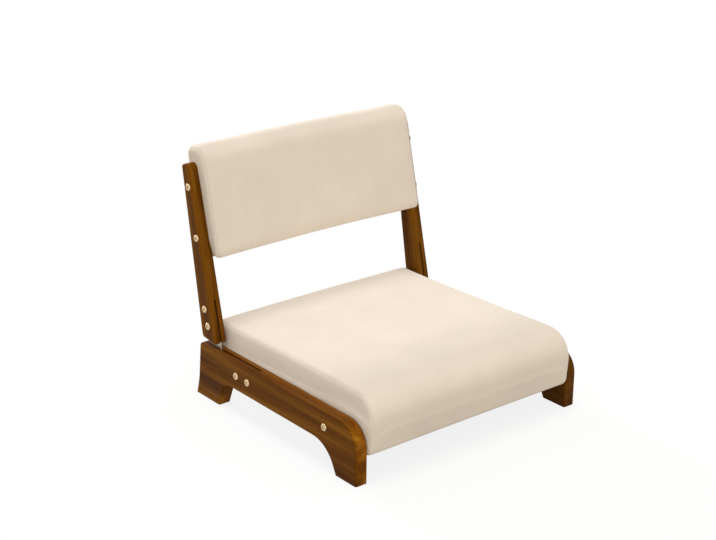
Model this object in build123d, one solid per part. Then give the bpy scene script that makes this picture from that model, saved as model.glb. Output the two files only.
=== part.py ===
from build123d import *
from math import cos, degrees, radians, sin, tan
import os

# A folding floor chair, in millimetres. It faces -Y with +Z up, and left and right are as seen from the front.
# The pieces are drawn with Y = 0 at the front of the side panels and Z = 0 on the floor. At the end all of them
# move together along Y, so that the finished chair's origin is the middle of its footprint.

# ---------------------------------------------------------------- clearances
FIT = 0.05  # around a bolt, dowel or screw in its hole
RUNNING_GAP = 0.3  # between pieces that move past each other

# ---------------------------------------------------------------- side panels
CHAIR_WIDTH = 460.0  # over the outer faces of the panels
PANEL_LENGTH = 421.5
PANEL_HEIGHT = 95.0
PANEL_THICKNESS = 22.0
PANEL_RAIL_DEPTH = 51.0  # wood left above the arch
FRONT_FOOT_LENGTH = 50.0
REAR_FOOT_LENGTH = 66.5
FRONT_CORNER_RADIUS = 40.0
REAR_CORNER_RADIUS = 7.0
ARCH_FRONT_SLOPE = 63.5  # degrees, the back of the front foot
ARCH_FRONT_RADIUS = 55.0
ARCH_REAR_SLOPE = 68.0  # degrees, the front of the rear foot
ARCH_REAR_RADIUS = 8.0
REAR_KICK = 7.5  # how far the rear foot sweeps out at the floor
REAR_KICK_HEIGHT = 27.5
REAR_KICK_RADIUS = 140.0
REAR_RAKE = 6.5  # how far the rear edge leans in above the kick
WOOD_CORNER = 4.0  # smallest corner in a wooden outline
WOOD_ARRIS = 3.0  # rounding of the long wooden edges

# ---------------------------------------------------------------- bolts
BOLT_RADIUS = 3.0
BOLT_HEAD_RADIUS = 6.0
BOLT_HEAD_HEIGHT = 2.2
BOLT_SOCKET_RADIUS = 2.3  # over the corners of the hexagon
BOLT_SOCKET_DEPTH = 1.7
BOLT_TIP = 0.8
PANEL_BOLT_LENGTH = 52.0
PANEL_BOLT_DROP = 25.5  # below the top of the panel
PIVOT_Y = 274.5
STOP_PITCH = 30.9  # from the pivot bolt back to the stop bolt
FRONT_BOLT_Y = 76.0

# ---------------------------------------------------------------- back posts
POST_THICKNESS = 22.0
POST_LIFT = 11.5  # gap between the panel and the post's lower end
POST_SETBACK = 60.4  # from the rear end of the panel to the post's front corner
POST_HEIGHT = 287.5
POST_FOOT_DEPTH = 39.0
POST_FRONT_LEAN = 13.4  # degrees
POST_REAR_LEAN = 9.5  # degrees
POST_TOP_FALL = 5.5  # how much lower the rear of the top is than its front
POST_FOOT_FALL = 3.5  # how much lower the front of the foot is than its rear
POST_REAR_FOOT_RADIUS = 7.0
POST_ARRIS = 3.5
POST_TOP_FRONT_RADIUS = 10.0
POST_TOP_REAR_RADIUS = 5.0

# ---------------------------------------------------------------- hinge plates
PLATE_THICKNESS = 3.0
PLATE_END_RADIUS = 14.0  # round the pivot, and from the bolts to the lower edge
PLATE_RISE = 18.0  # from the bolts to the upper edge
PLATE_TOP_RADIUS = 9.5  # round the upper bolt in the post
PLATE_ELBOW_RADIUS = 8.0
PLATE_SETBACK = 2.6  # behind the front edge of the post
POST_SLOT_WIDTH = 3.2
POST_SLOT_WALL = 4.5  # wood left behind the plate
POST_SLOT_HEIGHT = 68.5
PANEL_SLOT_FLOOR = 16.5  # below the bolts
SWING_ROOM = 2.0  # kept clear of the plate at the slot's ends
NOTCH_SWEEP = 45.0  # degrees, past the plate's lower edge
FOLD_ANGLE = 96.0  # degrees, from upright to folded
HINGE_BOLT_LENGTH = 17.5
HINGE_BOLT_HEIGHT = 23.7  # of the lower one, above the post's lower end
HINGE_BOLT_SETBACK = 15.2  # of the lower one, behind the post's front edge
HINGE_BOLT_PITCH = 28.6
HINGE_BOLT_LEAN = 17.5  # degrees

# ---------------------------------------------------------------- seat
SEAT_BOARD_DROP = 14.5  # its underside, below the top of the panels
SEAT_BOARD_THICKNESS = 12.0
SEAT_APRON_THICKNESS = 12.0
SEAT_APRON_SETBACK = 8.0  # behind the front of the panels
COVER_THICKNESS = 1.5
DUST_COVER_THICKNESS = 0.8
DUST_COVER_MARGIN = 18.0
HEM_WIDTH = 30.0  # of the cover, turned under the board
SEAT_REAR_INSET = 16.5  # in front of the rear end of the panels
SEAT_NOSE = 23.0  # the nose's corner before rounding, in front of the panels
SEAT_LIP = 2.5  # the lower edge of the nose, in front of the panels
SEAT_DROP = 51.5  # the lower edge of the nose, below the top of the panels
SEAT_RISE_REAR = 36.0  # above the top of the panels
SEAT_RISE_FRONT = 48.0
SEAT_NOSE_RADIUS = 60.0
SEAT_REAR_RADIUS = 16.0
SEAT_LIP_RADIUS = 8.0
SEAT_SIDE_RADIUS = 7.0
SEAT_SIDE_START = 3.0  # above the panels, where the sides begin to lean in
SEAT_SIDE_LEAN_FRONT = 5.0  # degrees
SEAT_SIDE_LEAN_REAR = 13.0  # degrees
SEAT_SIDE_BEND = 30.0
SEAT_CROWN = 1.5  # at the middle of the width
SEAT_LIP_RISE = 1.5  # how much higher the lower edge is there

# ---------------------------------------------------------------- rails under the seat
RAIL_THICKNESS = 20.0
FRONT_RAIL_HEIGHT = 30.0
REAR_RAIL_MARGIN = 15.5  # in front of the pivot bolt and behind the stop bolt
BARREL_NUT_RADIUS = 5.0
BARREL_NUT_LENGTH = 12.0
BARREL_NUT_SLOT = 1.2
BARREL_NUT_DEPTH = 20.0  # from the end of the rail
DOWEL_RADIUS = 4.0
DOWEL_LENGTH = 24.0
DOWEL_IN_PANEL = 12.0
DOWEL_HEIGHT = 9.0  # above the underside of the front rail
SCREW_RADIUS = 2.0
SCREW_HEAD_RADIUS = 4.0
SCREW_LENGTH = 32.0
SCREW_SPREAD = 150.0

# ---------------------------------------------------------------- back cushion
BACK_LEAN = 13.3  # degrees
BACK_THICKNESS = 54.0
BACK_LENGTH = 185.5
BACK_START = 138.0  # its lower edge, above the lower end of the posts
BACK_PROUD = 23.5  # in front of the posts
BACK_TOP_FRONT_RADIUS = 27.0
BACK_TOP_REAR_RADIUS = 18.0
BACK_FOOT_FRONT_RADIUS = 17.0
BACK_FOOT_REAR_RADIUS = 12.0
BACK_SIDE_RADIUS = 7.0
BACK_CROWN = 3.0
BACK_FOOT_RISE = 4.0  # how much higher the lower edge is at the middle
BACK_BOARD_THICKNESS = 15.0
BACK_BOARD_DEPTH = 31.0  # of its middle, behind the cushion's front
BACK_BOARD_MARGIN = 14.0  # at its lower and upper edges
BACK_BOLT_LENGTH = 48.0
BACK_BOLT_HEIGHTS = (38.0, 121.0)  # up the board
INSERT_RADIUS = 4.5
INSERT_LENGTH = 20.0
BOLT_HOLE_IN_COVER = 3.5

# ---------------------------------------------------------------- derived places
OUTER_X = CHAIR_WIDTH / 2
INNER_X = OUTER_X - PANEL_THICKNESS
POST_INNER_X = OUTER_X - POST_THICKNESS
CUSHION_X = min(INNER_X, POST_INNER_X) - RUNNING_GAP
ARCH_HEIGHT = PANEL_HEIGHT - PANEL_RAIL_DEPTH
BOLT_Z = PANEL_HEIGHT - PANEL_BOLT_DROP
STOP_Y = PIVOT_Y + STOP_PITCH
POST_Z = PANEL_HEIGHT + POST_LIFT
POST_Y = PANEL_LENGTH - POST_SETBACK
SLOT_X = OUTER_X - PANEL_THICKNESS / 2
BOARD_Z = PANEL_HEIGHT - SEAT_BOARD_DROP
SEAT_UNDER_Z = BOARD_Z - COVER_THICKNESS
RAIL_TOP_Z = SEAT_UNDER_Z - DUST_COVER_THICKNESS
SEAT_REAR_Y = PANEL_LENGTH - SEAT_REAR_INSET
APRON_REAR_Y = SEAT_APRON_SETBACK + SEAT_APRON_THICKNESS


def post_front(z):
    """Y of the post's front edge at height z."""
    return POST_Y + (z - POST_Z) * tan(radians(POST_FRONT_LEAN))


def post_rear(z):
    """Y of the post's rear edge at height z."""
    return POST_Y + POST_FOOT_DEPTH + (z - POST_Z) * tan(radians(POST_REAR_LEAN))


def back_place(depth, height):
    """Y and Z of a point of the back cushion: depth behind its front plane, height up its lean."""
    lean = radians(BACK_LEAN)
    start_z = POST_Z + BACK_START
    start_y = post_front(start_z) - BACK_PROUD / cos(lean)
    return (
        start_y + depth * cos(lean) + height * sin(lean),
        start_z - depth * sin(lean) + height * cos(lean),
    )


HINGE_BOLT_LOW_Z = POST_Z + HINGE_BOLT_HEIGHT
HINGE_BOLT_LOW_Y = post_front(HINGE_BOLT_LOW_Z) + HINGE_BOLT_SETBACK
HINGE_BOLTS = [
    (
        HINGE_BOLT_LOW_Y + step * HINGE_BOLT_PITCH * sin(radians(HINGE_BOLT_LEAN)),
        HINGE_BOLT_LOW_Z + step * HINGE_BOLT_PITCH * cos(radians(HINGE_BOLT_LEAN)),
    )
    for step in (0, 1)
]
BACK_BOLTS = [back_place(BACK_BOARD_DEPTH, height) for height in BACK_BOLT_HEIGHTS]


# ---------------------------------------------------------------- drawing helpers
def outline(corners):
    """A face from corners given as (y, z, rounding radius)."""
    points = [(y, z) for y, z, _ in corners]
    radii = [radius for _, _, radius in corners]
    return make_face(FilletPolyline(*points, radius=radii, close=True))


def slab(face, start, thickness):
    """A face drawn in Y and Z, extruded along X from start."""
    return extrude(Plane.YZ.offset(start) * face, thickness)


def block(x_span, y_span, z_span):
    """A plain box between two X, two Y and two Z values."""
    middle = [(low + high) / 2 for low, high in (x_span, y_span, z_span)]
    size = [high - low for low, high in (x_span, y_span, z_span)]
    return Pos(*middle) * Box(*size)


def rod(place, radius, start, length):
    """A cylinder along X through the (y, z) place."""
    return slab(Pos(*place) * Circle(radius), start, length)


def upright_rod(x, y, radius, z_span):
    """A cylinder along Z."""
    low, high = z_span
    return Pos(x, y, (low + high) / 2) * Cylinder(radius, high - low)


def side_edges(part):
    """The edges round the two faces of a slab that look along X."""
    return part.faces().filter_by(Axis.X).edges()


def both_sides(part):
    """A left-hand piece and its mirror image."""
    return [part, mirror(part, about=Plane.YZ)]


def bolt(length):
    """A low-headed bolt along +X, with the underside of its head at X = 0."""
    head = rod((0, 0), BOLT_HEAD_RADIUS, -BOLT_HEAD_HEIGHT, BOLT_HEAD_HEIGHT)
    head = fillet(head.edges().sort_by(Axis.X)[0], 0.8 * BOLT_HEAD_HEIGHT)
    shank = rod((0, 0), BOLT_RADIUS, 0, length)
    shank = chamfer(shank.edges().sort_by(Axis.X)[-1], BOLT_TIP)
    socket = slab(RegularPolygon(BOLT_SOCKET_RADIUS, 6), -BOLT_HEAD_HEIGHT, BOLT_SOCKET_DEPTH)
    return head + shank - socket


def bolts_at(places, length):
    """The bolts of both sides, with their heads on the outer wood faces."""
    left = [Pos(-OUTER_X, *place) * bolt(length) for place in places]
    return [piece for one in left for piece in both_sides(one)]


# ---------------------------------------------------------------- base: wood
def side_panel():
    """The left side panel: two feet, an arch between them and a slot for the hinge plate."""
    arch_front = FRONT_FOOT_LENGTH + ARCH_HEIGHT / tan(radians(ARCH_FRONT_SLOPE))
    rear_foot_front = PANEL_LENGTH - REAR_FOOT_LENGTH
    arch_rear = rear_foot_front - ARCH_HEIGHT / tan(radians(ARCH_REAR_SLOPE))
    kick_y = PANEL_LENGTH - REAR_KICK
    face = outline(
        [
            (0, 0, 0),
            (FRONT_FOOT_LENGTH, 0, 0),
            (arch_front, ARCH_HEIGHT, ARCH_FRONT_RADIUS),
            (arch_rear, ARCH_HEIGHT, ARCH_REAR_RADIUS),
            (rear_foot_front, 0, 0),
            (PANEL_LENGTH, 0, 0),
            (kick_y, REAR_KICK_HEIGHT, REAR_KICK_RADIUS),
            (kick_y - REAR_RAKE, PANEL_HEIGHT, REAR_CORNER_RADIUS),
            (0, PANEL_HEIGHT, FRONT_CORNER_RADIUS),
        ]
    )
    panel = slab(face, -OUTER_X, PANEL_THICKNESS)
    panel = fillet([edge for edge in side_edges(panel) if edge.center().Z > FIT], WOOD_ARRIS)
    for y in (PIVOT_Y, STOP_Y, FRONT_BOLT_Y):
        panel -= rod((y, BOLT_Z), BOLT_RADIUS + FIT, -OUTER_X, PANEL_THICKNESS)
    panel -= panel_slot()
    panel -= rod(dowel_place(), DOWEL_RADIUS + FIT, -INNER_X - DOWEL_IN_PANEL, DOWEL_IN_PANEL)
    return panel


def panel_slot():
    """The slot in which the hinge plate lies, as long as the plate needs when it swings."""
    over = radians(FOLD_ANGLE - 90)
    reach = PLATE_RISE / cos(over) + (PANEL_HEIGHT - BOLT_Z) * tan(over) + SWING_ROOM
    rear = plate_rear(PANEL_HEIGHT) + SWING_ROOM
    width = PLATE_THICKNESS + 2 * RUNNING_GAP
    return block(
        (-SLOT_X - width / 2, -SLOT_X + width / 2),
        (PIVOT_Y - reach, rear),
        (BOLT_Z - PANEL_SLOT_FLOOR, PANEL_HEIGHT),
    )


def dowel_place():
    """Y and Z of the dowel that keeps the front rail from turning."""
    return FRONT_BOLT_Y, RAIL_TOP_Z - FRONT_RAIL_HEIGHT + DOWEL_HEIGHT


def rail(y_span, height, bolt_ys):
    """A rail between the panels, bored at its ends for bolts and barrel nuts."""
    low = RAIL_TOP_Z - height
    bar = block((-INNER_X, INNER_X), y_span, (low, RAIL_TOP_Z))
    bolt_depth = PANEL_BOLT_LENGTH - PANEL_THICKNESS
    nut_top = BOLT_Z + BARREL_NUT_LENGTH / 2
    nut_x = INNER_X - BARREL_NUT_DEPTH
    for y in bolt_ys:
        for hole in both_sides(rod((y, BOLT_Z), BOLT_RADIUS + FIT, -INNER_X, bolt_depth)):
            bar -= hole
        for hole in both_sides(upright_rod(-nut_x, y, BARREL_NUT_RADIUS + FIT, (low, nut_top))):
            bar -= hole
    y = sum(y_span) / 2
    seat_z = screw_seat()
    for x in (-SCREW_SPREAD, 0, SCREW_SPREAD):
        bar -= upright_rod(x, y, SCREW_RADIUS + FIT, (low, RAIL_TOP_Z))
        bar -= Pos(x, y, seat_z) * screw_head(FIT)
        if low < seat_z:
            bar -= upright_rod(x, y, SCREW_HEAD_RADIUS + FIT, (low, seat_z))
    return bar


def front_rail():
    """The front cross rail."""
    y_span = (FRONT_BOLT_Y - RAIL_THICKNESS / 2, FRONT_BOLT_Y + RAIL_THICKNESS / 2)
    bar = rail(y_span, FRONT_RAIL_HEIGHT, [FRONT_BOLT_Y])
    depth = DOWEL_LENGTH - DOWEL_IN_PANEL
    for hole in both_sides(rod(dowel_place(), DOWEL_RADIUS + FIT, -INNER_X, depth)):
        bar -= hole
    return bar


def rear_rail():
    """The wide rear cross rail, which takes the pivot and stop bolts."""
    y_span = (PIVOT_Y - REAR_RAIL_MARGIN, STOP_Y + REAR_RAIL_MARGIN)
    return rail(y_span, RAIL_THICKNESS, [PIVOT_Y, STOP_Y])


def barrel_nuts(bolt_ys):
    """Barrel nuts in the ends of a rail, each slotted at its lower end."""
    nuts = []
    nut_x = INNER_X - BARREL_NUT_DEPTH
    low = BOLT_Z - BARREL_NUT_LENGTH / 2
    high = BOLT_Z + BARREL_NUT_LENGTH / 2
    for y in bolt_ys:
        nut = upright_rod(-nut_x, y, BARREL_NUT_RADIUS, (low, high))
        nut -= rod((y, BOLT_Z), BOLT_RADIUS + FIT, -INNER_X, 2 * BARREL_NUT_DEPTH)
        half_slot = BARREL_NUT_SLOT / 2
        nut -= block(
            (-INNER_X, BARREL_NUT_RADIUS - nut_x),
            (y - half_slot, y + half_slot),
            (low, low + BARREL_NUT_SLOT),
        )
        nuts += both_sides(nut)
    return nuts


def front_rail_dowels():
    """One wooden dowel at each end of the front rail."""
    dowel = rod(dowel_place(), DOWEL_RADIUS, -INNER_X - DOWEL_IN_PANEL, DOWEL_LENGTH)
    return both_sides(chamfer(dowel.edges().filter_by(GeomType.CIRCLE), BOLT_TIP))


# ---------------------------------------------------------------- base: screws
def screw_seat():
    """Z of the screw heads' outer face."""
    return RAIL_TOP_Z - RAIL_THICKNESS


def screw_head(extra):
    """The countersunk head at the origin, opening downwards, larger by extra."""
    height = SCREW_HEAD_RADIUS - SCREW_RADIUS
    return Pos(0, 0, height / 2) * Cone(SCREW_HEAD_RADIUS + extra, SCREW_RADIUS + extra, height)


def seat_screws():
    """Screws up through the rails into the seat board."""
    shank = upright_rod(0, 0, SCREW_RADIUS, (0, SCREW_LENGTH))
    shank = chamfer(shank.edges().sort_by(Axis.Z)[-1], 0.6 * SCREW_RADIUS)
    one = shank + screw_head(0)
    rear_y = (PIVOT_Y + STOP_Y) / 2
    places = [(x, y) for y in (FRONT_BOLT_Y, rear_y) for x in (-SCREW_SPREAD, 0, SCREW_SPREAD)]
    return [Pos(x, y, screw_seat()) * one for x, y in places]


def screw_holes():
    """The holes that the screws make above the rails."""
    top = screw_seat() + SCREW_LENGTH
    rear_y = (PIVOT_Y + STOP_Y) / 2
    holes = []
    for y in (FRONT_BOLT_Y, rear_y):
        for x in (-SCREW_SPREAD, 0, SCREW_SPREAD):
            holes.append(upright_rod(x, y, SCREW_RADIUS + FIT, (screw_seat(), top)))
    return holes


# ---------------------------------------------------------------- cushions
def cushion(section, inset):
    """A form through one outline at both ends and a fuller one at the middle, drawn in by inset."""
    reach = CUSHION_X - inset
    sections = [section(x, full, inset) for x, full in ((-reach, 0), (0, 1), (reach, 0))]
    return loft(sections, ruled=True)


def seat_section(x, full, inset):
    """The seat cushion's outline at x, with full = 1 at the middle of the width and 0 at its ends."""
    crown = full * SEAT_CROWN
    lip_z = PANEL_HEIGHT - SEAT_DROP + full * SEAT_LIP_RISE
    rear_y = APRON_REAR_Y + COVER_THICKNESS
    face = outline(
        [
            (SEAT_REAR_Y, SEAT_UNDER_Z, 0),
            (SEAT_REAR_Y, PANEL_HEIGHT + SEAT_RISE_REAR + crown, SEAT_REAR_RADIUS),
            (-SEAT_NOSE - crown, PANEL_HEIGHT + SEAT_RISE_FRONT + crown, SEAT_NOSE_RADIUS),
            (-SEAT_LIP, lip_z, SEAT_LIP_RADIUS),
            (rear_y, lip_z, 0),
            (rear_y, SEAT_UNDER_Z, 0),
        ]
    )
    if inset:
        face = offset(face, -inset, kind=Kind.INTERSECTION)
    return Plane.YZ.offset(x) * face


def seat_form(inset):
    """The seat cushion's form, with its sides drawn in above the panels and sharp only beneath."""
    form = cushion(seat_section, inset) & seat_sides(inset)
    soft = [edge for edge in form.edges() if round_seat_side(edge.center())]
    return fillet(soft, SEAT_SIDE_RADIUS - inset)


def seat_sides(inset):
    """A bar along Y between the two sides of the seat, which lean in more towards the rear."""
    ends = ((-2 * SEAT_NOSE, SEAT_SIDE_LEAN_FRONT), (PANEL_LENGTH, SEAT_SIDE_LEAN_REAR))
    faces = [Plane.XZ.offset(-y) * seat_side_face(lean, inset) for y, lean in ends]
    return loft(faces, ruled=True)


def seat_side_face(lean, inset):
    """A face in X and Z as wide as the seat, whose sides lean in above the panels."""
    reach = CUSHION_X - inset
    bend = PANEL_HEIGHT + SEAT_SIDE_START
    top = PANEL_HEIGHT + 2 * SEAT_RISE_FRONT
    drawn_in = (top - bend) * tan(radians(lean))
    right = [(reach, 0, 0), (reach, bend, SEAT_SIDE_BEND), (reach - drawn_in, top, 0)]
    return outline(right + [(-x, z, radius) for x, z, radius in reversed(right)])


def round_seat_side(place):
    """True for a place round a side of the seat, apart from its underside and the back of its lip."""
    beneath = place.Y > SEAT_APRON_SETBACK and place.Z < BOARD_Z + COVER_THICKNESS
    return abs(place.X) > CUSHION_X / 2 and not beneath


def back_section(x, full, inset):
    """The back cushion's outline at x, with full = 1 at the middle of the width and 0 at its ends."""
    crown = full * BACK_CROWN
    rise = full * BACK_FOOT_RISE
    corners = [
        (-crown, rise, BACK_FOOT_FRONT_RADIUS),
        (BACK_THICKNESS, rise, BACK_FOOT_REAR_RADIUS),
        (BACK_THICKNESS, BACK_LENGTH + crown, BACK_TOP_REAR_RADIUS),
        (-crown, BACK_LENGTH + crown, BACK_TOP_FRONT_RADIUS),
    ]
    face = outline([(*back_place(depth, height), radius) for depth, height, radius in corners])
    if inset:
        face = offset(face, -inset, kind=Kind.INTERSECTION)
    return Plane.YZ.offset(x) * face


def back_form(inset):
    """The back cushion's form, rounded all round."""
    form = cushion(back_section, inset)
    return fillet(side_edges(form), BACK_SIDE_RADIUS - inset)


# ---------------------------------------------------------------- base: seat
def seat_board():
    """The plywood seat board inside the cushion."""
    reach = CUSHION_X - COVER_THICKNESS
    board = block(
        (-reach, reach),
        (SEAT_APRON_SETBACK, SEAT_REAR_Y - COVER_THICKNESS),
        (BOARD_Z, BOARD_Z + SEAT_BOARD_THICKNESS),
    )
    rear_corners = board.edges().filter_by(Axis.Z).group_by(Axis.Y)[-1]
    board = fillet(rear_corners, SEAT_SIDE_RADIUS)
    for hole in screw_holes():
        board -= hole
    return board


def seat_apron():
    """The strip below the board's front edge, which holds the nose of the cushion and ends above its lip."""
    reach = CUSHION_X - COVER_THICKNESS
    low = PANEL_HEIGHT - SEAT_DROP + SEAT_LIP_RISE + SEAT_LIP_RADIUS
    return block((-reach, reach), (SEAT_APRON_SETBACK, APRON_REAR_Y), (low, BOARD_Z))


def seat_foam():
    """The foam inside the cover, over the board and the apron."""
    foam = seat_form(COVER_THICKNESS)
    reach = CUSHION_X - COVER_THICKNESS
    board = block(
        (-reach, reach),
        (SEAT_APRON_SETBACK, SEAT_REAR_Y - COVER_THICKNESS),
        (BOARD_Z, BOARD_Z + SEAT_BOARD_THICKNESS),
    )
    return foam - board - seat_apron()


def seat_cover():
    """The fabric, turned under the board as a hem."""
    cover = seat_form(0) - seat_form(COVER_THICKNESS)
    reach = CUSHION_X - HEM_WIDTH
    window = block(
        (-reach, reach),
        (APRON_REAR_Y + HEM_WIDTH, SEAT_REAR_Y - HEM_WIDTH),
        (SEAT_UNDER_Z, BOARD_Z),
    )
    return cover - window


def seat_dust_cover():
    """The thin black cloth under the seat, between the hem and the rails."""
    reach = CUSHION_X - DUST_COVER_MARGIN
    sheet = block(
        (-reach, reach),
        (APRON_REAR_Y + DUST_COVER_MARGIN, SEAT_REAR_Y - DUST_COVER_MARGIN),
        (RAIL_TOP_Z, SEAT_UNDER_Z),
    )
    for hole in screw_holes():
        sheet -= hole
    return sheet


# ---------------------------------------------------------------- backrest: posts and hinge plates
def back_post():
    """The left post, slotted at its lower end for the hinge plate and bored for its bolts."""
    top = POST_Z + POST_HEIGHT
    rear_top = top - POST_TOP_FALL
    foot_front = POST_Z - POST_FOOT_FALL
    face = outline(
        [
            (post_front(foot_front), foot_front, WOOD_CORNER),
            (post_rear(POST_Z), POST_Z, POST_REAR_FOOT_RADIUS),
            (post_rear(rear_top), rear_top, POST_TOP_REAR_RADIUS),
            (post_front(top), top, POST_TOP_FRONT_RADIUS),
        ]
    )
    post = slab(face, -OUTER_X, POST_THICKNESS)
    post = fillet(side_edges(post), POST_ARRIS)
    post -= post_slot()
    for place in HINGE_BOLTS:
        post -= rod(place, BOLT_RADIUS + FIT, -OUTER_X, HINGE_BOLT_LENGTH)
    for place in BACK_BOLTS:
        post -= rod(place, BOLT_RADIUS + FIT, -OUTER_X, POST_THICKNESS)
    return post


def post_slot():
    """The slot in a post, open at the front edge and at the lower end."""
    top = POST_Z + POST_SLOT_HEIGHT
    low = POST_Z - POST_LIFT
    ahead = post_front(low) - POST_SLOT_WALL
    face = make_face(
        Polyline(
            (ahead, low),
            (post_rear(low) - POST_SLOT_WALL, low),
            (post_rear(top) - POST_SLOT_WALL, top),
            (ahead, top),
            close=True,
        )
    )
    return slab(face, -SLOT_X - POST_SLOT_WIDTH / 2, POST_SLOT_WIDTH)


def plate_rear(z):
    """Y of the hinge plate's rear edge at height z."""
    return post_rear(z) - POST_SLOT_WALL - FIT


def hinge_plate():
    """The left hinge plate: it turns on the pivot bolt and its notch comes to rest on the stop bolt."""
    front = PIVOT_Y - PLATE_END_RADIUS
    low = BOLT_Z - PLATE_END_RADIUS
    high = BOLT_Z + PLATE_RISE
    top = HINGE_BOLTS[1][1] + PLATE_TOP_RADIUS
    face = outline(
        [
            (front, low, PLATE_END_RADIUS),
            (plate_rear(low), low, PLATE_TOP_RADIUS),
            (plate_rear(top), top, PLATE_TOP_RADIUS),
            (post_front(top) + PLATE_SETBACK, top, PLATE_TOP_RADIUS),
            (post_front(high) + PLATE_SETBACK, high, PLATE_ELBOW_RADIUS),
            (front, high, PLATE_END_RADIUS),
        ]
    )
    plate = slab(face, -SLOT_X - PLATE_THICKNESS / 2, PLATE_THICKNESS)
    for place in [(PIVOT_Y, BOLT_Z), *HINGE_BOLTS]:
        plate -= rod(place, BOLT_RADIUS + FIT, -OUTER_X, PANEL_THICKNESS)
    return plate - stop_notch()


def stop_notch():
    """The arc that the stop bolt leaves through when the backrest folds, closed above the bolt."""
    half_width = BOLT_RADIUS + RUNNING_GAP
    drop = RUNNING_GAP - FIT
    start = -degrees(drop / STOP_PITCH)
    path = CenterArc((PIVOT_Y, BOLT_Z), STOP_PITCH, start, -NOTCH_SWEEP)
    return slab(SlotArc(path, 2 * half_width), -SLOT_X - PLATE_THICKNESS / 2, PLATE_THICKNESS)


# ---------------------------------------------------------------- backrest: board and fixings
def board_span():
    """The depths and heights between which the back board lies."""
    half = BACK_BOARD_THICKNESS / 2
    depths = (BACK_BOARD_DEPTH - half, BACK_BOARD_DEPTH + half)
    heights = (BACK_BOARD_MARGIN, BACK_LENGTH - BACK_BOARD_MARGIN - BACK_TOP_REAR_RADIUS)
    return depths, heights


def plain_back_board():
    """The board inside the back cushion, before its ends are bored."""
    depths, heights = board_span()
    turn = ((0, 0), (1, 0), (1, 1), (0, 1))
    corners = [back_place(depths[a], heights[b]) for a, b in turn]
    face = make_face(Polyline(*corners, close=True))
    reach = CUSHION_X - COVER_THICKNESS
    return slab(face, -reach, 2 * reach)


def back_board():
    """The board with holes in its ends for the threaded inserts and the bolts."""
    board = plain_back_board()
    reach = CUSHION_X - COVER_THICKNESS
    bolt_depth = BACK_BOLT_LENGTH - OUTER_X + reach
    for place in BACK_BOLTS:
        for hole in both_sides(rod(place, INSERT_RADIUS + FIT, -reach, INSERT_LENGTH)):
            board -= hole
        for hole in both_sides(rod(place, BOLT_RADIUS + FIT, -reach, bolt_depth)):
            board -= hole
    return board


def back_board_inserts():
    """Threaded sleeves in the ends of the back board."""
    inserts = []
    reach = CUSHION_X - COVER_THICKNESS
    for place in BACK_BOLTS:
        sleeve = rod(place, INSERT_RADIUS, -reach, INSERT_LENGTH)
        sleeve -= rod(place, BOLT_RADIUS + FIT, -reach, INSERT_LENGTH)
        inserts += both_sides(sleeve)
    return inserts


def back_foam():
    """The foam inside the cover, round the board."""
    return back_form(COVER_THICKNESS) - plain_back_board()


def back_cover():
    """The fabric round the back cushion, with holes at its ends for the bolts."""
    cover = back_form(0) - back_form(COVER_THICKNESS)
    for place in BACK_BOLTS:
        for hole in both_sides(rod(place, BOLT_HOLE_IN_COVER, -CUSHION_X, COVER_THICKNESS)):
            cover -= hole
    return cover


# ---------------------------------------------------------------- the chair
def all_pieces():
    """Every node by name: one solid, or a list of equal fasteners."""
    paired = {
        "side_panel": side_panel(),
        "back_post": back_post(),
        "hinge_plate": hinge_plate(),
    }
    pieces = {
        "front_rail": front_rail(),
        "rear_rail": rear_rail(),
        "seat_board": seat_board(),
        "seat_apron": seat_apron(),
        "seat_foam": seat_foam(),
        "seat_cover": seat_cover(),
        "seat_dust_cover": seat_dust_cover(),
        "seat_screws": seat_screws(),
        "pivot_bolts": bolts_at([(PIVOT_Y, BOLT_Z)], PANEL_BOLT_LENGTH),
        "stop_bolts": bolts_at([(STOP_Y, BOLT_Z)], PANEL_BOLT_LENGTH),
        "front_rail_bolts": bolts_at([(FRONT_BOLT_Y, BOLT_Z)], PANEL_BOLT_LENGTH),
        "front_rail_nuts": barrel_nuts([FRONT_BOLT_Y]),
        "front_rail_dowels": front_rail_dowels(),
        "rear_rail_nuts": barrel_nuts([PIVOT_Y, STOP_Y]),
        "hinge_plate_bolts": bolts_at(HINGE_BOLTS, HINGE_BOLT_LENGTH),
        "back_board": back_board(),
        "back_board_bolts": bolts_at(BACK_BOLTS, BACK_BOLT_LENGTH),
        "back_board_inserts": back_board_inserts(),
        "back_foam": back_foam(),
        "back_cover": back_cover(),
    }
    for name, left in paired.items():
        pieces[name + "_left"], pieces[name + "_right"] = both_sides(left)
    return pieces


def solids_of(piece):
    """The solids of a node."""
    shapes = piece if isinstance(piece, list) else [piece]
    return [solid for shape in shapes for solid in shape.solids()]


def main():
    """Build every piece, stand the chair on the origin and write one file per node."""
    nodes = {name: solids_of(piece) for name, piece in all_pieces().items()}
    whole = Compound([solid for solids in nodes.values() for solid in solids])
    box = whole.bounding_box()
    move = Pos(0, -(box.min.Y + box.max.Y) / 2, 0)
    os.makedirs("parts", exist_ok=True)
    for name, solids in nodes.items():
        moved = [move * solid for solid in solids]
        shape = moved[0] if len(moved) == 1 else Compound(moved)
        export_step(shape, f"parts/{name}.step")
        print(name, len(moved), round(sum(solid.volume for solid in moved), 1))
    print("size", box.size, "shift in Y", round(move.position.Y, 4))
    print("pivot", round(PIVOT_Y + move.position.Y, 4), BOLT_Z)


main()
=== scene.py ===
import math

import bmesh
import bpy
import numpy as np
from mathutils import Matrix, Vector
from mathutils.bvhtree import BVHTree


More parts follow.
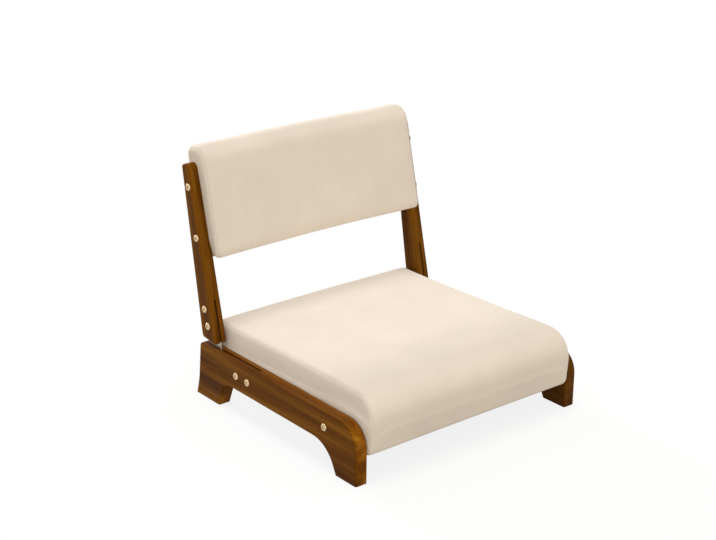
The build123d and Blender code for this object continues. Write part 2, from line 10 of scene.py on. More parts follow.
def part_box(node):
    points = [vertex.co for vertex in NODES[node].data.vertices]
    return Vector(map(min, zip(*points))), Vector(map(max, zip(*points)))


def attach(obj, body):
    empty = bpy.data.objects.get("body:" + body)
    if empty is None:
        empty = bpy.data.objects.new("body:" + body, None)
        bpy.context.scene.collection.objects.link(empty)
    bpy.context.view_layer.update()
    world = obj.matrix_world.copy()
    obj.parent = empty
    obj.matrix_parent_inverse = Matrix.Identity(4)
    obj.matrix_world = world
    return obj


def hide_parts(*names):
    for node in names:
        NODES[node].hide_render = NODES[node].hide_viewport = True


# The looks of a folding floor chair. Sizes are written in millimetres, in the frame in which it was drawn,
# where Y = 0 is the front of the side panels. place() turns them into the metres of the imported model.
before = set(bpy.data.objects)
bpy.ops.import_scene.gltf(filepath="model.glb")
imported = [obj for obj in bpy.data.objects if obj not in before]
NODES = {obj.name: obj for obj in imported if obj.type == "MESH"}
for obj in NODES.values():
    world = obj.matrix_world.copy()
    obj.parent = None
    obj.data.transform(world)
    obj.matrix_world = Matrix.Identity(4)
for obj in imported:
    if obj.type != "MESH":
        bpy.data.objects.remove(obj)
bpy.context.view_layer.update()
MM = 0.001
SHIFT_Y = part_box("side_panel_left")[0].y / MM

PANEL_TOP = 95.0
CUSHION_X = 207.6  # from the middle to a cushion's end
END_HELD = 2.0  # how much of a cushion's end its wood holds
BACK_LEAN = math.radians(13.3)


def place(points):
    """Points in millimetres of the drawing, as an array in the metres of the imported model."""
    moved = np.array(points, float)
    moved[..., 1] += SHIFT_Y
    return moved * MM


# ---------------------------------------------------------------- nodes of a material
class Look:
    """The nodes of a material or of the world, and short ways to add to them."""

    def __init__(self, owner, shader, sockets):
        owner.use_nodes = True
        self.owner = owner
        self.nodes = owner.node_tree.nodes
        self.links = owner.node_tree.links
        self.shader = self.nodes[shader]
        self.feed(self.shader, sockets)

    def feed(self, node, sockets):
        """Joins a node's inputs to outputs, or sets them to numbers, vectors and colours."""
        for name, value in sockets.items():
            socket = node.inputs[name]
            if isinstance(value, bpy.types.NodeSocket):
                self.links.new(value, socket)
            elif socket.type == "RGBA":
                socket.default_value = (*value, 1)
            else:
                socket.default_value = value

    def add(self, kind, sockets, **settings):
        """A new node with its settings, and its inputs fed."""
        node = self.nodes.new(kind)
        for setting, value in settings.items():
            setattr(node, setting, value)
        self.feed(node, sockets)
        return node

    def math(self, operation, *values):
        """A number worked out from numbers."""
        return self.add("ShaderNodeMath", dict(enumerate(values)), operation=operation).outputs["Value"]

    def vector_math(self, operation, *values):
        """What a vector operation gives: its Vector, or its Value for a product that is a number."""
        return self.add("ShaderNodeVectorMath", dict(enumerate(values)), operation=operation).outputs

    def coordinates(self, kind):
        """Where a point is in its object, or which way its surface faces there."""
        return self.add("ShaderNodeTexCoord", {}).outputs[kind]

    def split(self, vector):
        """A vector's X, Y and Z."""
        return self.add("ShaderNodeSeparateXYZ", {"Vector": vector}).outputs

    def mapped(self, turn=(0, 0, 0), scale=(1, 1, 1)):
        """Object coordinates, turned and then scaled."""
        turned = self.add("ShaderNodeMapping", {"Vector": self.coordinates("Object"), "Rotation": turn})
        scaled = self.add("ShaderNodeMapping", {"Vector": turned.outputs["Vector"], "Scale": scale})
        return scaled.outputs["Vector"]

    def noise(self, vector, detail, scale=1.0, distortion=0.0):
        """A noise texture's value."""
        sockets = {"Vector": vector, "Scale": scale, "Detail": detail, "Distortion": distortion}
        return self.add("ShaderNodeTexNoise", sockets).outputs["Fac"]

    def ramp(self, value, *stops):
        """Colours along a value, from (position, colour) stops."""
        node = self.add("ShaderNodeValToRGB", {"Fac": value})
        elements = node.color_ramp.elements
        while len(elements) < len(stops):
            elements.new(0.5)
        for element, (position, color) in zip(elements, stops):
            element.position = position
            element.color = (*color, 1)
        return node.outputs["Color"]

    def mix(self, kind, factor, first, second):
        """Two colours mixed by a factor."""
        sockets = {"Factor": factor, 6: first, 7: second}
        return self.add("ShaderNodeMix", sockets, data_type="RGBA", blend_type=kind).outputs[2]

    def bump(self, height, strength, distance, under=None):
        """Roughens the surface by a height, over the bump under it if there is one."""
        sockets = {"Height": height, "Strength": strength, "Distance": distance}
        if under is not None:
            sockets["Normal"] = under
        normal = self.add("ShaderNodeBump", sockets).outputs["Normal"]
        self.feed(self.shader, {"Normal": normal})
        return normal

    def seen(self):
        """1 for the camera, in mirrors and through glass, and 0 for the light that falls on the object."""
        paths = self.add("ShaderNodeLightPath", {}).outputs
        mirrored = self.math("MAXIMUM", paths["Is Camera Ray"], paths["Is Glossy Ray"])
        return self.math("MAXIMUM", mirrored, paths["Is Transmission Ray"])

    def show(self, factor, first, second, output):
        """Gives an output node two shaders mixed by a factor."""
        blend = self.add("ShaderNodeMixShader", {"Fac": factor, 1: first, 2: second})
        self.feed(self.nodes[output], {"Surface": blend.outputs["Shader"]})


def material(name, sockets):
    """A new material, with its shader's inputs fed."""
    return Look(bpy.data.materials.new(name), "Principled BSDF", sockets)


def grey(value):
    """A grey of the given lightness."""
    return (value,) * 3


def times(share, color):
    """A colour with all its parts made lighter or darker alike."""
    return tuple(share * part for part in color)


WHITE = grey(1)
BLACK = grey(0)


# ---------------------------------------------------------------- materials
WOOD_SHEEN = {"Roughness": 0.5, "Specular IOR Level": 0.06, "Specular Tint": (1.0, 0.60, 0.22)}
# Tint of the painted highlight on the wood's edge faces.
EDGE_HIGHLIGHT_TINT = (1.0, 0.98, 0.9)
# Painted shade: nearly black, for plate steel where it lies in shade inside the post's slot.
PAINTED_SLOT_SHADE = (0.045, 0.026, 0.014)
THREAD = 1.1  # millimetres between two threads of the cloth


def wood(name, turn, tones, streaks=1.0, painted_edge_light=1.0):
    """Wood whose grain runs along the turned X axis. Faces that don't face X are made lighter by the given
    share: a painted highlight for the light that falls on edge faces.
    """
    dark, middle, light = tones
    look = material(name, {"Base Color": middle, **WOOD_SHEEN})
    figure = look.noise(look.mapped(turn, (2.2, 34, 34)), 4.0, distortion=0.6)
    color = look.ramp(figure, (0.30, dark), (0.52, middle), (0.74, light))
    lines = look.noise(look.mapped(turn, (9, 420, 420)), 3.0)
    shade = look.ramp(lines, (0.35, (0.62, 0.58, 0.52)), (0.6, WHITE))
    color = look.mix("MULTIPLY", 0.75 * streaks, color, shade)
    pores = look.noise(look.mapped(turn, (60, 1300, 1300)), 2.0)
    pits = look.ramp(pores, (0.30, (0.45, 0.42, 0.4)), (0.42, WHITE))
    color = look.mix("MULTIPLY", 0.5, color, pits)
    # Painted highlight: faces that don't face X are made lighter, for the light that falls on the edge faces.
    if painted_edge_light != 1.0:
        sideways = look.math("ABSOLUTE", look.split(look.coordinates("Normal"))["X"])
        edge_highlight_mask = look.ramp(sideways, (0.2, WHITE), (0.8, BLACK))
        color = look.mix("MULTIPLY", edge_highlight_mask, color, times(painted_edge_light, EDGE_HIGHLIGHT_TINT))
    gloss = look.ramp(lines, (0.3, grey(0.58)), (0.7, grey(0.42)))
    look.feed(look.shader, {"Base Color": color, "Roughness": gloss})
    look.bump(pores, 0.25, 0.0004)
    return look.owner


def metal(name, color, roughness, along, painted_shade_above=None):
    """Metal with faint uneven polish, with painted shade above a height in metres."""
    look = material(name, {"Base Color": color, "Roughness": roughness, "Metallic": 1.0})
    wear = look.noise(look.mapped(scale=along), 4.0)
    gloss = look.ramp(wear, (0.3, grey(roughness * 0.8)), (0.7, grey(roughness * 1.3)))
    tone = look.ramp(wear, (0.25, times(0.86, color)), (0.6, color))
    # Painted shade: above the height the metal is coloured nearly black, for the shade inside the post's
    # slot.
    if painted_shade_above is not None:
        height = look.split(look.coordinates("Object"))["Z"]
        tone = look.mix("MIX", look.math("GREATER_THAN", height, painted_shade_above), tone, PAINTED_SLOT_SHADE)
    look.feed(look.shader, {"Base Color": tone, "Roughness": gloss})
    look.bump(wear, 0.08, 0.0002)
    return look.owner


def weave(look, turn):
    """The height of crossed threads on the three main planes, blended by which way the surface faces."""
    count = math.pi / (THREAD * MM)
    waves = look.vector_math("SINE", look.mapped(turn, (count,) * 3))["Vector"]
    axes = look.split(waves)
    crossed = {axis: look.math("MULTIPLY", axes[a], axes[b]) for axis, a, b in ("XYZ", "YXZ", "ZXY")}
    threads = look.add("ShaderNodeCombineXYZ", crossed).outputs["Vector"]
    facing = look.coordinates("Normal")
    squared = look.vector_math("MULTIPLY", facing, facing)["Vector"]
    return look.vector_math("DOT_PRODUCT", squared, threads)["Value"]


def fabric(name, color, lean=0.0):
    """Finely woven cloth with slubs and a faint mottling, its weave leaning back with the piece."""
    sheen = {"Sheen Weight": 0.25, "Sheen Roughness": 0.5, "Specular IOR Level": 0.25}
    look = material(name, {"Base Color": color, "Roughness": 0.85, **sheen})
    turn = (lean, 0, 0)
    threads = weave(look, turn)
    slubs = look.noise(look.mapped(turn, (900, 120, 120)), 2.0)
    mottle = look.noise(look.mapped(turn), 5.0, scale=14.0)
    tone = look.ramp(mottle, (0.25, times(0.94, color)), (0.7, color))
    tone = look.mix("MULTIPLY", 0.8, tone, look.ramp(threads, (0.0, (0.93, 0.92, 0.90)), (0.6, WHITE)))
    tone = look.mix("MULTIPLY", 0.7, tone, look.ramp(slubs, (0.3, (0.955, 0.95, 0.94)), (0.55, WHITE)))
    look.feed(look.shader, {"Base Color": tone})
    soft = look.bump(mottle, 0.10, 0.002)
    look.bump(threads, 0.35, 0.00025, soft)
    return look.owner


def felt(name, color):
    """Thin felted cloth."""
    look = material(name, {"Base Color": color, "Roughness": 0.9})
    fuzz = look.noise(look.mapped(), 4.0, scale=700.0)
    look.feed(look.shader, {"Base Color": look.ramp(fuzz, (0.3, grey(0.012)), (0.7, grey(0.035)))})
    look.bump(fuzz, 0.4, 0.0004)
    return look.owner


def painted_shade_tones(share, tones):
    """The tones of a wood, all made darker alike: painted shade, for wood that lies in shade."""
    return [times(share, tone) for tone in tones]


# The dark, middle and light streaks of each wood.
WALNUT = ((0.074, 0.0225, 0.0012), (0.160, 0.055, 0.0034), (0.29, 0.116, 0.0095))
RAIL_WOOD = ((0.20, 0.10, 0.04), (0.30, 0.165, 0.07), (0.40, 0.235, 0.11))
PLY = ((0.40, 0.27, 0.14), (0.52, 0.36, 0.20), (0.60, 0.43, 0.25))
CREAM = (0.85, 0.752, 0.655)
ALONG_X = (0, 0, 0)
ALONG_Y = (0, 0, math.radians(-90))
ALONG_POST = (math.radians(11.5), math.radians(90), 0)  # brings the post's lean onto X
EVEN = (90, 90, 90)
BRUSHED = (900, 12, 12)
PLATE_SHOWS_TO = 0.1075  # metres above the floor, where the plate enters the post; above it the plate is painted in shade

SEAT_CLOTH = fabric("seat_cloth", CREAM)
BACK_CLOTH = fabric("back_cloth", CREAM, BACK_LEAN)
SEAM_CLOTH = fabric("seam_cloth", times(0.86, CREAM))

# The photograph's right-hand wood is darker than its left.
FINISHES = {
    # The left panel's edge faces get a painted highlight, 1.5 times as light.
    wood("walnut_along_panel", ALONG_Y, WALNUT, painted_edge_light=1.5): ["side_panel_left"],
    # Painted shade: the right panel's walnut is made darker, for the shade it lies in beside the cushion.
    wood("walnut_right_panel_painted_shade", ALONG_Y, painted_shade_tones(0.66, WALNUT)): ["side_panel_right"],
    wood("walnut_along_post", ALONG_POST, WALNUT): ["back_post_left"],
    # Painted shade: the right post's walnut is made darker, for the shade it lies in.
    wood("walnut_right_post_painted_shade", ALONG_POST, painted_shade_tones(0.84, WALNUT)): ["back_post_right"],
    wood("plain_wood", ALONG_X, RAIL_WOOD, 0.6): ["front_rail", "rear_rail", "front_rail_dowels"],
    wood("plywood", ALONG_X, PLY, 0.4): ["seat_board", "seat_apron", "back_board"],
    metal("brass", (0.66, 0.50, 0.29), 0.34, EVEN): [
        "pivot_bolts",
        "stop_bolts",
        "front_rail_bolts",
        "hinge_plate_bolts",
        "back_board_bolts",
        "back_board_inserts",
    ],
    metal("zinc_steel", (0.42, 0.41, 0.39), 0.38, EVEN): ["seat_screws", "front_rail_nuts", "rear_rail_nuts"],
    metal("plate_steel", (0.56, 0.52, 0.47), 0.42, BRUSHED, PLATE_SHOWS_TO): [
        "hinge_plate_left",
        "hinge_plate_right",
    ],
    felt("black_cloth", (0.02, 0.02, 0.021)): ["seat_dust_cover"],
}
for finish, names in FINISHES.items():
    for name in names:
        mesh = NODES[name].data
        mesh.materials.clear()
        mesh.materials.append(finish)


# ---------------------------------------------------------------- outlines and rings
COUNT = 240  # points round a cushion's outline
ARC_POINTS = 13
LAYERS = 41
END_TURNS = np.radians(np.linspace(0, 90, 9))[1:]


def rise(value, start, stop):
    """0 up to start, 1 from stop on, and even between them."""
    return np.clip((value - start) / (stop - start), 0, 1)


def eased(share):
    """A share from 0 to 1 that starts and ends gently."""
    return share * share * (3 - 2 * share)


def rounded(corners):
    """A closed outline from (y, z, radius) corners, as evenly spaced points."""
    points = []
    for k, (y, z, radius) in enumerate(corners):
        here = np.array((y, z), float)
        before = np.array(corners[k - 1][:2], float) - here
        after = np.array(corners[(k + 1) % len(corners)][:2], float) - here
        before /= np.linalg.norm(before)
        after /= np.linalg.norm(after)
        half = math.acos(np.clip(before @ after, -1, 1)) / 2
        centre = here + (before + after) / np.linalg.norm(before + after) * radius / math.sin(half)
        start = here + before * radius / math.tan(half) - centre
        stop = here + after * radius / math.tan(half) - centre
        turn = math.atan2(start[0] * stop[1] - start[1] * stop[0], start @ stop)
        for step in np.linspace(0, turn, ARC_POINTS):
            c, s = math.cos(step), math.sin(step)
            points.append(centre + (c * start[0] - s * start[1], s * start[0] + c * start[1]))
    points = np.array(points)
    closed = np.vstack([points, points[:1]])
    lengths = np.r_[0, np.cumsum(np.linalg.norm(np.diff(closed, axis=0), axis=1))]
    at = np.linspace(0, lengths[-1], COUNT, endpoint=False)
    return np.stack([np.interp(at, lengths, closed[:, k]) for k in (0, 1)], 1)


def inward(points):
    """Unit directions into a closed outline."""
    along = np.roll(points, -1, 0) - np.roll(points, 1, 0)
    along /= np.linalg.norm(along, axis=1)[:, None]
    area = np.sum(points[:, 0] * np.roll(points[:, 1], -1) - np.roll(points[:, 0], -1) * points[:, 1])
    return np.stack([-along[:, 1], along[:, 0]], 1) * math.copysign(1, area)


def smooth(values, times_over):
    """A ring of values averaged with its neighbours."""
    for _ in range(times_over):
        values = (np.roll(values, 1, 0) + 2 * values + np.roll(values, -1, 0)) / 4
    return values


def end_ring(section, side_radius, side, turn):
    """The outline on a rounded end: at its start for no turn, and on the end face for a quarter turn."""
    outline = section(0.0)
    radius = side_radius(outline)
    into = inward(outline) * (radius * (1 - math.cos(turn)))[:, None]
    x = side * (CUSHION_X - radius * (1 - math.sin(turn)))
    return np.c_[x, outline + into]


def rings(section, side_radius):
    """Rings of points across a cushion: outlines over its width, drawn in round both ends."""
    inner = CUSHION_X - side_radius(section(0.0)).max()
    left = [end_ring(section, side_radius, -1, turn) for turn in END_TURNS[::-1]]
    right = [end_ring(section, side_radius, 1, turn) for turn in END_TURNS]
    middle = [
        np.c_[np.full(COUNT, x), section(1 - (abs(x) / CUSHION_X) ** 2)]
        for x in np.linspace(-inner, inner, LAYERS)
    ]
    return np.array(left + middle + right)


# ---------------------------------------------------------------- meshes
VOXEL = 5.0
CLOTH_FRAMES = 20


def coordinates(mesh):
    """A mesh's points in millimetres of the drawing."""
    points = np.empty(len(mesh.vertices) * 3)
    mesh.vertices.foreach_get("co", points)
    points = points.reshape(-1, 3) / MM
    points[:, 1] -= SHIFT_Y
    return points


def put_back(mesh, points):
    """Moves a mesh's points to the ones given, in millimetres of the drawing."""
    mesh.vertices.foreach_set("co", place(points).ravel())
    mesh.update()


def normals_of(mesh):
    """The direction in which each point of a mesh faces."""
    made = np.empty(len(mesh.vertices) * 3)
    mesh.vertices.foreach_get("normal", made)
    return made.reshape(-1, 3)


def add_object(name, data):
    """A new object of the scene."""
    made = bpy.data.objects.new(name, data)
    bpy.context.scene.collection.objects.link(made)
    return made


def shell(name, layers):
    """A closed mesh through rings of points in millimetres."""
    count = layers.shape[1]
    last = len(layers) - 1
    faces = []
    for a in range(last):
        for b in range(count):
            c = (b + 1) % count
            faces.append((a * count + b, a * count + c, (a + 1) * count + c, (a + 1) * count + b))
    faces.append(tuple(range(count))[::-1])
    faces.append(tuple(last * count + b for b in range(count)))
    mesh = bpy.data.meshes.new(name)
    mesh.from_pydata(place(layers.reshape(-1, 3)).tolist(), [], faces)
    work = bmesh.new()
    work.from_mesh(mesh)
    bmesh.ops.triangulate(work, faces=[f for f in work.faces if len(f.verts) > 4])
    bmesh.ops.recalc_face_normals(work, faces=work.faces)
    work.to_mesh(mesh)
    work.free()
    return add_object(name, mesh)


def applied(made):
    """Replaces an object's mesh by what its modifiers make of it."""
    shown = made.evaluated_get(bpy.context.evaluated_depsgraph_get())
    mesh = bpy.data.meshes.new_from_object(shown)
    made.modifiers.clear()
    made.vertex_groups.clear()
    made.data = mesh
    return mesh


def remeshed(made):
    """An even mesh of small squares over the same form."""
    step = made.modifiers.new("even", "REMESH")
    step.mode = "VOXEL"
    step.voxel_size = VOXEL * MM
    step.use_smooth_shade = True
    return applied(made)


def refined(made):
    """One subdivision, for a smooth surface."""
    step = made.modifiers.new("fine", "SUBSURF")
    step.levels = 1
    step.render_levels = 1
    mesh = applied(made)
    mesh.polygons.foreach_set("use_smooth", [True] * len(mesh.polygons))
    return mesh


def swollen(made, held, most):
    """Swells a closed form with cloth under pressure. held and most give a point's hold and longest move."""
    begin = coordinates(made.data)
    group = made.vertex_groups.new(name="held")
    hold = held(begin)
    for index in np.nonzero(hold > 0)[0]:
        group.add([int(index)], float(hold[index]), "REPLACE")
    cloth = made.modifiers.new("cloth", "CLOTH")
    settings = cloth.settings
    settings.quality = 6
    settings.mass = 0.3
    settings.tension_stiffness = 12
    settings.compression_stiffness = 6
    settings.shear_stiffness = 5
    settings.bending_stiffness = 0.6
    settings.use_pressure = True
    settings.uniform_pressure_force = 4.0
    settings.vertex_group_mass = group.name
    settings.effector_weights.gravity = 0
    cloth.collision_settings.use_collision = False
    cloth.point_cache.frame_start = 1
    cloth.point_cache.frame_end = CLOTH_FRAMES
    scene = bpy.context.scene
    for number in range(1, CLOTH_FRAMES + 1):
        scene.frame_set(number)
    mesh = applied(made)
    scene.frame_set(1)
    move = coordinates(mesh) - begin
    length = np.linalg.norm(move, axis=1)
    limit = most(begin)
    share = np.where(length > limit, limit / np.maximum(length, 1e-9), 1)
    put_back(mesh, begin + move * share[:, None])


# ---------------------------------------------------------------- cushions
UNEVEN_HEIGHT = 0.5
UNEVEN_SIZE = 90
WAVES = 10
SEAM_RADIUS = 0.45
SEAM_SUNK = 0.25  # of its radius
SEAM_DEPTH = 0.6
SEAM_WIDTH = 3.0
FAR = 1e9
AT_ONCE = 200  # points of a line compared at a time, to save memory


def distance_to(points, line):
    """How far each point is from a dense line of points."""
    nearest = np.full(len(points), FAR)
    for start in range(0, len(line), AT_ONCE):
        gap = points[:, None, :] - line[None, start : start + AT_ONCE, :]
        nearest = np.minimum(nearest, np.sqrt((gap**2).sum(2)).min(1))
    return nearest


def ripple(points, seed):
    """A smooth uneven value from -1 to 1 over the points, from a few waves."""
    random = np.random.default_rng(seed)
    total = np.zeros(len(points))
    for _ in range(WAVES):
        way = random.normal(size=3)
        way /= np.linalg.norm(way)
        length = UNEVEN_SIZE * random.uniform(0.7, 1.4)
        phase = random.uniform(0, 6.3)
        total += np.sin(points @ way * 2 * math.pi / length + phase)
    return total / WAVES


def side_seam(section, side_radius, shape, side, share):
    """A line along a rounded end, share of the way round it."""
    return shape(end_ring(section, side_radius, side, math.radians(90 * share)))


def seam_edge(name, mesh, line):
    """A fine sewn edge that lies in a cushion's surface along a line in millimetres."""
    tree = BVHTree.FromPolygons([v.co for v in mesh.vertices], [p.vertices for p in mesh.polygons])
    curve = bpy.data.curves.new(name, "CURVE")
    curve.dimensions = "3D"
    curve.bevel_depth = SEAM_RADIUS * MM
    curve.bevel_resolution = 1
    spline = curve.splines.new("POLY")
    spline.points.add(len(line) - 1)
    for point, spot in zip(spline.points, place(line)):
        where, normal, _, _ = tree.find_nearest(Vector(spot))
        point.co = (*(where - normal * SEAM_SUNK * SEAM_RADIUS * MM), 1)
    curve.materials.append(SEAM_CLOTH)
    return add_object(name, curve)


def cushion(name, layers, held, most, seams, cloth, body, nodes, seed):
    """A stuffed cushion: its form, swollen, with its seams drawn in, and a sewn edge along each of them."""
    made = shell(name, layers)
    remeshed(made)
    swollen(made, held, most)
    mesh = refined(made)
    points, normals = coordinates(mesh), normals_of(mesh)
    free = 1 - held(points)
    points = points + normals * (UNEVEN_HEIGHT * ripple(points, seed) * free)[:, None]
    for line in seams:
        near = distance_to(points, line)
        points = points - normals * (SEAM_DEPTH * np.exp(-((near / SEAM_WIDTH) ** 2)) * free)[:, None]
    put_back(mesh, points)
    mesh.materials.clear()
    mesh.materials.append(cloth)
    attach(made, body)
    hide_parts(*nodes)
    for line, end in zip(seams, "lr"):
        edge = seam_edge(f"{name}_seam_{end}", mesh, line)
        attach(edge, body)


# ---------------------------------------------------------------- seat cushion
SEAT_UNDER = 79.0
SEAT_REAR, SEAT_REAR_TOP, SEAT_REAR_RADIUS = 405.0, 131, 16
NOSE_Y, NOSE_TOP, NOSE_RADIUS = -19, 141, 44
LIP_FRONT, LIP_REAR, LIP_HEIGHT, LIP_RADIUS = -2.5, 21.5, 42.8, 7
SEAT_CROWN, LIP_CROWN = 1.5, 0.5
SHARP = 1.5  # radius of a folded edge

# Each pair is where something starts along Y or Z, and where it is in full.
SOFT_ABOVE_Z = (92, 117)
SOFT_NOSE_Y = (40, 0)
SOFT_NOSE_Z = (46, 76)
SOFTER_REAR_Y = (0, 120)
DRAWN_IN_Y = (-20, 180)
SWELLS_Z = (44, 110)
SWELLS_Y = (430, 310)

SIDE_SOFTNESS, REAR_SOFTNESS = 5.5, 1.0
SIDE_LEAN, REAR_LEAN = 3, 10  # degrees, the second added towards the rear
DRAWN_IN_ABOVE = 3  # over the panels' top
DRAWN_IN_EASE = 4.0
SEAT_SWELL, SEAT_REAR_SHARE = 2.0, 0.3
REST_HEIGHT = PANEL_TOP + 2  # up to here wood holds the seat
REST_FRONT = 12
LIP_HELD_TO = 46
SEAT_SEAM_SHARE = 0.55
SEAM_ABOVE, SEAM_BEFORE = 96, 8


def seat_section(full):
    """The seat's outline, from its rear lower edge up, over the nose and back under the lip."""
    crown = SEAT_CROWN * full
    lip = LIP_HEIGHT + LIP_CROWN * full
    corners = [
        (SEAT_REAR, SEAT_UNDER, SHARP),
        (SEAT_REAR, SEAT_REAR_TOP + crown, SEAT_REAR_RADIUS),
        (NOSE_Y - crown, NOSE_TOP + crown, NOSE_RADIUS),
        (LIP_FRONT, lip, LIP_RADIUS),
        (LIP_REAR, lip, SHARP),
        (LIP_REAR, SEAT_UNDER, SHARP),
    ]
    return rounded(corners)


def seat_side_radius(outline):
    """How round the seat's sides are along its outline: soft above and at the nose, sharp beneath."""
    y, z = outline.T
    soft = np.maximum(rise(z, *SOFT_ABOVE_Z), rise(y, *SOFT_NOSE_Y) * rise(z, *SOFT_NOSE_Z))
    softness = SIDE_SOFTNESS + REAR_SOFTNESS * rise(y, *SOFTER_REAR_Y)
    return smooth(SHARP + softness * soft, 8)


def seat_shape(layers):
    """Draws the sides in above the panels, more towards the rear."""
    points = layers.copy()
    x, y, z = points[..., 0], points[..., 1], points[..., 2]
    lean = np.radians(SIDE_LEAN + REAR_LEAN * rise(y, *DRAWN_IN_Y))
    height = np.clip(z - PANEL_TOP - DRAWN_IN_ABOVE, 0, None)
    height = np.sqrt(height**2 + DRAWN_IN_EASE**2) - DRAWN_IN_EASE
    points[..., 0] = x * (1 - height * np.tan(lean) / CUSHION_X)
    return points


def seat_held(points):
    """1 where wood, a board or the hem holds the seat, 0 where it is free."""
    x, y, z = points.T
    beneath = (z < REST_HEIGHT) & (y > REST_FRONT)
    lip = z < LIP_HELD_TO
    sides = (np.abs(x) > CUSHION_X - END_HELD) & (z < REST_HEIGHT)
    return np.where(beneath | lip | sides, 1.0, 0.0)


def seat_most(points):
    """How far the seat's surface may swell: most on its top, less down its nose and at its rear."""
    _, y, z = points.T
    return SEAT_SWELL * eased(rise(z, *SWELLS_Z)) * np.maximum(rise(y, *SWELLS_Y), SEAT_REAR_SHARE)


def seat_seam(side):
    """The seam along the seat's side, where it is free."""
    line = side_seam(seat_section, seat_side_radius, seat_shape, side, SEAT_SEAM_SHARE)
    return line[(line[:, 2] > SEAM_ABOVE) | (line[:, 1] < SEAM_BEFORE)]


cushion(
    "seat_cushion",
    seat_shape(rings(seat_section, seat_side_radius)),
    seat_held,
    seat_most,
    [seat_seam(side) for side in (-1, 1)],
    SEAT_CLOTH,
    "base",
    ["seat_cover", "seat_foam"],
    seed=3,
)

# ---------------------------------------------------------------- back cushion
BACK_Y, BACK_Z = 368.991, 244.5  # the lower edge of its front plane
BACK_LENGTH = 185.5
BACK_THICKNESS = 54.0
BACK_CROWN = 3.0
BACK_SIDE_RADIUS = 7.0
BACK_SPREAD = 7.0  # how far the ends bulge past the posts' inner faces
SPREADS_BEYOND_POST = (0.6, 9.6)
SPREADS_ALONG_X = (0.86, 1)  # as shares of the way to the end
BACK_SWELL = 1.5
BACK_SEAM_SHARE = 0.5
HELD_BEYOND_POST = 2
POST_Y, POST_Z, POST_HEIGHT, POST_DEPTH = 361.1, 106.5, 287.5, 39.0
POST_FRONT_LEAN, POST_REAR_LEAN = math.radians(13.4), math.radians(9.5)


def back_place(depth, height):
    """Y and Z of a point behind the back's front plane and up its lean."""
    return (
        BACK_Y + depth * math.cos(BACK_LEAN) + height * math.sin(BACK_LEAN),
        BACK_Z - depth * math.sin(BACK_LEAN) + height * math.cos(BACK_LEAN),
    )


def back_section(full):
    """The back's outline, with a crown in front and above, and a lower edge that rises as much."""
    crown = BACK_CROWN * full
    corners = [
        (BACK_THICKNESS, crown, 12),
        (BACK_THICKNESS, BACK_LENGTH + crown, 18),
        (-crown, BACK_LENGTH + crown, 27),
        (-crown, crown, 11),
    ]
    return rounded([(*back_place(depth, height), radius) for depth, height, radius in corners])


def back_side_radius(outline):
    """How round the back's ends are along its outline."""
    return np.full(len(outline), BACK_SIDE_RADIUS)


def beyond_post(points):
    """How far points are outside a back post, seen from the side: below 0 within its outline."""
    y, z = points[..., 1], points[..., 2]
    up = z - POST_Z
    ahead = (POST_Y + up * math.tan(POST_FRONT_LEAN) - y) * math.cos(POST_FRONT_LEAN)
    behind = (y - POST_Y - POST_DEPTH - up * math.tan(POST_REAR_LEAN)) * math.cos(POST_REAR_LEAN)
    return np.maximum(np.maximum(ahead, behind), up - POST_HEIGHT)


def back_shape(layers):
    """Widens the ends where no post holds them in, in front of the posts, above and behind them."""
    points = layers.copy()
    free = eased(rise(beyond_post(points), *SPREADS_BEYOND_POST))
    end = rise(np.abs(points[..., 0]) / CUSHION_X, *SPREADS_ALONG_X)
    points[..., 0] += np.sign(points[..., 0]) * BACK_SPREAD * free * end**2
    return points


def back_held(points):
    """1 where the back lies between the posts, 0 where it is free."""
    between = (np.abs(points[:, 0]) > CUSHION_X - END_HELD) & (beyond_post(points) < HELD_BEYOND_POST)
    return np.where(between, 1.0, 0.0)


def back_most(points):
    """How far the back's surface may swell."""
    return np.full(len(points), BACK_SWELL)


def back_seam(side):
    """The closed seam round an end of the back."""
    line = side_seam(back_section, back_side_radius, back_shape, side, BACK_SEAM_SHARE)
    return np.vstack([line, line[:1]])


cushion(
    "back_cushion",
    back_shape(rings(back_section, back_side_radius)),
    back_held,
    back_most,
    [back_seam(side) for side in (-1, 1)],
    BACK_CLOTH,
    "backrest",
    ["back_cover", "back_foam"],
    seed=8,
)

# ---------------------------------------------------------------- floor and light
FLOOR_SIZE = 40  # metres
FLOOR_BOUNCE = (0.54, 0.52, 0.48)  # what the floor throws back onto the chair
FLOOR_SEEN = grey(0.93)
FLOOR_GLOW = 0.84  # how much of the floor's white hides its shading
SKY = (1, 0.965, 0.895)
SKY_STRENGTH = 0.62

matt = {"Roughness": 0.95, "Specular IOR Level": 0.0}
floor_look = material("floor_white", {"Base Color": FLOOR_BOUNCE, **matt})
seen = floor_look.seen()
floor_color = floor_look.mix("MIX", seen, FLOOR_BOUNCE, FLOOR_SEEN)
floor_look.feed(floor_look.shader, {"Base Color": floor_color})
glow = floor_look.add("ShaderNodeEmission", {"Color": WHITE, "Strength": 1.0})
share = floor_look.math("MULTIPLY", seen, FLOOR_GLOW)
floor_look.show(share, floor_look.shader.outputs["BSDF"], glow.outputs["Emission"], "Material Output")

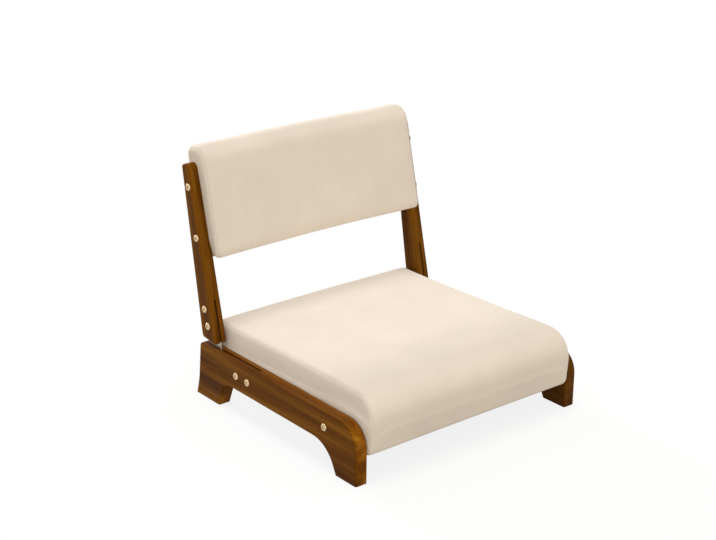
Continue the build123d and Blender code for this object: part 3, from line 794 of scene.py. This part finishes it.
bpy.ops.mesh.primitive_plane_add(size=FLOOR_SIZE, location=(0, 0, 0))
floor = bpy.context.object
floor.name = "floor"
floor.data.materials.append(floor_look.owner)

world = bpy.data.worlds.new("studio")
bpy.context.scene.world = world
sky = Look(world, "Background", {"Color": SKY, "Strength": SKY_STRENGTH})
white = sky.add("ShaderNodeBackground", {"Color": WHITE, "Strength": 1.0})
sky.show(sky.seen(), sky.shader.outputs["Background"], white.outputs["Background"], "World Output")


def sun(name, towards, spread, strength, color=WHITE):
    """A wide soft light from far away, from the direction given."""
    data = bpy.data.lights.new(name, "SUN")
    data.color = color
    data.angle = math.radians(spread)
    data.energy = strength
    made = add_object(name, data)
    made.rotation_mode = "QUATERNION"
    made.rotation_quaternion = Vector(towards).to_track_quat("Z", "Y")


sun("key", (-0.10, 0.05, 1.0), spread=30, strength=1.06)
sun("rear", (0.0, 1.0, 0.28), spread=9, strength=1.8)
sun("fill", (-0.40, -1.0, 0.22), spread=40, strength=0.78, color=(1, 0.955, 0.87))

# ---------------------------------------------------------------- camera
CAMERA_AT = (-1545.38, -1614.75, 1142.12)
AZIMUTH, ELEVATION, ROLL = math.radians(-39.18), math.radians(20.97), math.radians(0.51)
SENSOR_WIDTH = 36
FOCAL_LENGTH = 80.25

away = Vector(
    (
        math.sin(AZIMUTH) * math.cos(ELEVATION),
        -math.cos(AZIMUTH) * math.cos(ELEVATION),
        math.sin(ELEVATION),
    )
)
level = (-away).cross(Vector((0, 0, 1))).normalized()
upright = level.cross(-away)
right = level * math.cos(ROLL) + upright * math.sin(ROLL)
up = upright * math.cos(ROLL) - level * math.sin(ROLL)
camera_data = bpy.data.cameras.new("camera")
camera_data.sensor_width = SENSOR_WIDTH
camera_data.lens = FOCAL_LENGTH
camera = add_object("camera", camera_data)
turned = Matrix((right, up, away)).transposed().to_4x4()
camera.matrix_world = Matrix.Translation(Vector(place(CAMERA_AT))) @ turned
bpy.context.scene.camera = camera
bpy.context.scene.view_settings.view_transform = "Standard"
